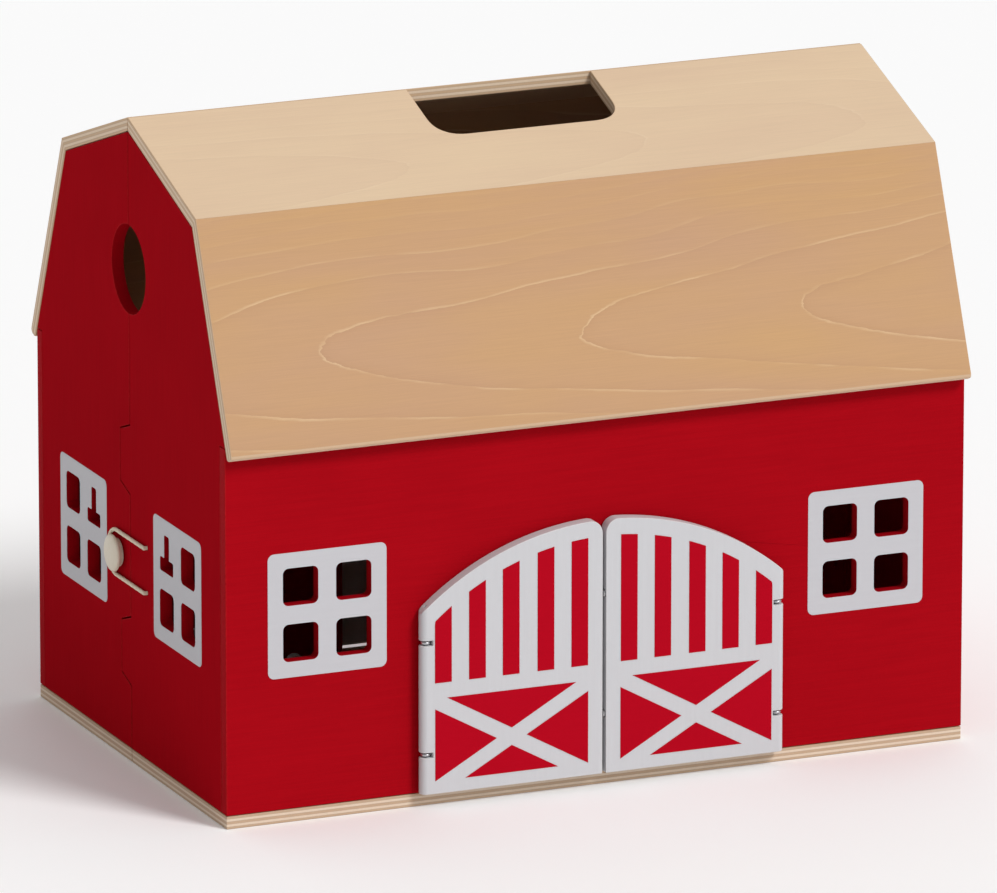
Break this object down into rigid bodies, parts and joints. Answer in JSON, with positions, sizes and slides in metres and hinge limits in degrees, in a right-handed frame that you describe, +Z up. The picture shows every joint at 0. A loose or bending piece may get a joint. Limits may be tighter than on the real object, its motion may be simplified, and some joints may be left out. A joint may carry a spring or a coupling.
{
  "type": "toy barn",
  "caption": "Wooden toy barn sawn along its ridge into two hinged halves, with arched double doors, a stable door, hayloft floors, a hand slot in the roof and an elastic loop round a knob.",
  "frame": {"origin": "on the floor, under the middle of the closed barn, in the plane where it splits", "axes": "+X along the ridge towards the hinged gable, -Y out of the arched front doors, +Z up"},
  "size_m": [0.371, 0.2428, 0.2999],
  "materials": {
    "bare_wood": "sealed pale plywood",
    "red_paint": "satin red stain with faint grain",
    "white_paint": "satin white paint",
    "cream_paint": "satin cream paint",
    "steel": "zinc plated",
    "elastic": "braided elastic cord"
  },
  "bodies": {
    "front_half": {"base_front": "bare_wood", "wall_front": "red_paint", "gable_left_front": "red_paint", "gable_right_front": "red_paint", "roof_lower_front": "bare_wood", "roof_upper_front": "bare_wood", "loft_front": "bare_wood", "loft_cleat_front": "bare_wood", "fence_front_1": "white_paint", "fence_front_2": "white_paint", "fence_front_3": "white_paint", "hinge_lower_front_plate": "steel", "hinge_lower_front_screw_1": "steel", "hinge_lower_front_screw_2": "steel", "hinge_upper_front_plate": "steel", "hinge_upper_front_screw_1": "steel", "hinge_upper_front_screw_2": "steel", "door_left_eye_1": "steel", "door_left_eye_2": "steel", "door_right_eye_1": "steel", "door_right_eye_2": "steel", "elastic_ends": "elastic"},
    "door_left": {"door_left_leaf": "white_paint", "door_left_pin": "steel", "door_left_magnet_1": "steel", "door_left_magnet_2": "steel"},
    "door_right": {"door_right_leaf": "white_paint", "door_right_pin": "steel", "door_right_magnet_1": "steel", "door_right_magnet_2": "steel"},
    "elastic": {"elastic_loop": "elastic"},
    "rear_half": {"base_rear": "bare_wood", "wall_rear": "red_paint", "gable_left_rear": "red_paint", "gable_right_rear": "red_paint", "roof_lower_rear": "bare_wood", "roof_upper_rear": "bare_wood", "loft_rear": "bare_wood", "loft_cleat_rear": "bare_wood", "fence_rear_1": "white_paint", "fence_rear_2": "white_paint", "fence_rear_3": "white_paint", "hinge_lower_rear_plate": "steel", "hinge_lower_rear_screw_1": "steel", "hinge_lower_rear_screw_2": "steel", "hinge_upper_rear_plate": "steel", "hinge_upper_rear_screw_1": "steel", "hinge_upper_rear_screw_2": "steel", "hinge_lower_pin": "steel", "hinge_upper_pin": "steel", "closure_knob": "cream_paint", "closure_knob_screw": "steel", "stable_lower_eye_1": "steel", "stable_lower_eye_2": "steel", "stable_upper_eye_1": "steel", "stable_upper_eye_2": "steel"},
    "stable_lower": {"stable_lower_leaf": "white_paint", "stable_lower_pin": "steel"},
    "stable_upper": {"stable_upper_leaf": "white_paint", "stable_upper_pin": "steel"}
  },
  "joints": [
    {"name": "barn_hinge", "type": "hinge", "parent": "front_half", "child": "rear_half", "pos_m": [0.183, 0, 0.1], "axis": [0, 0, -1], "range_deg": [0, 175]},
    {"name": "door_left_hinge", "type": "hinge", "parent": "front_half", "child": "door_left", "pos_m": [-0.08575, -0.1177, 0.05], "axis": [0, 0, -1], "range_deg": [0, 165]},
    {"name": "door_right_hinge", "type": "hinge", "parent": "front_half", "child": "door_right", "pos_m": [0.08575, -0.1177, 0.05], "axis": [0, 0, 1], "range_deg": [0, 165]},
    {"name": "elastic_swing", "type": "hinge", "parent": "front_half", "child": "elastic", "pos_m": [-0.1812, -0.0196, 0.095], "axis": [0, 0, 1], "range_deg": [0, 100]},
    {"name": "stable_lower_hinge", "type": "hinge", "parent": "rear_half", "child": "stable_lower", "pos_m": [0.0405, 0.1177, 0.038], "axis": [0, 0, -1], "range_deg": [0, 165]},
    {"name": "stable_upper_hinge", "type": "hinge", "parent": "rear_half", "child": "stable_upper", "pos_m": [0.0405, 0.1177, 0.103], "axis": [0, 0, -1], "range_deg": [0, 165]}
  ]
}
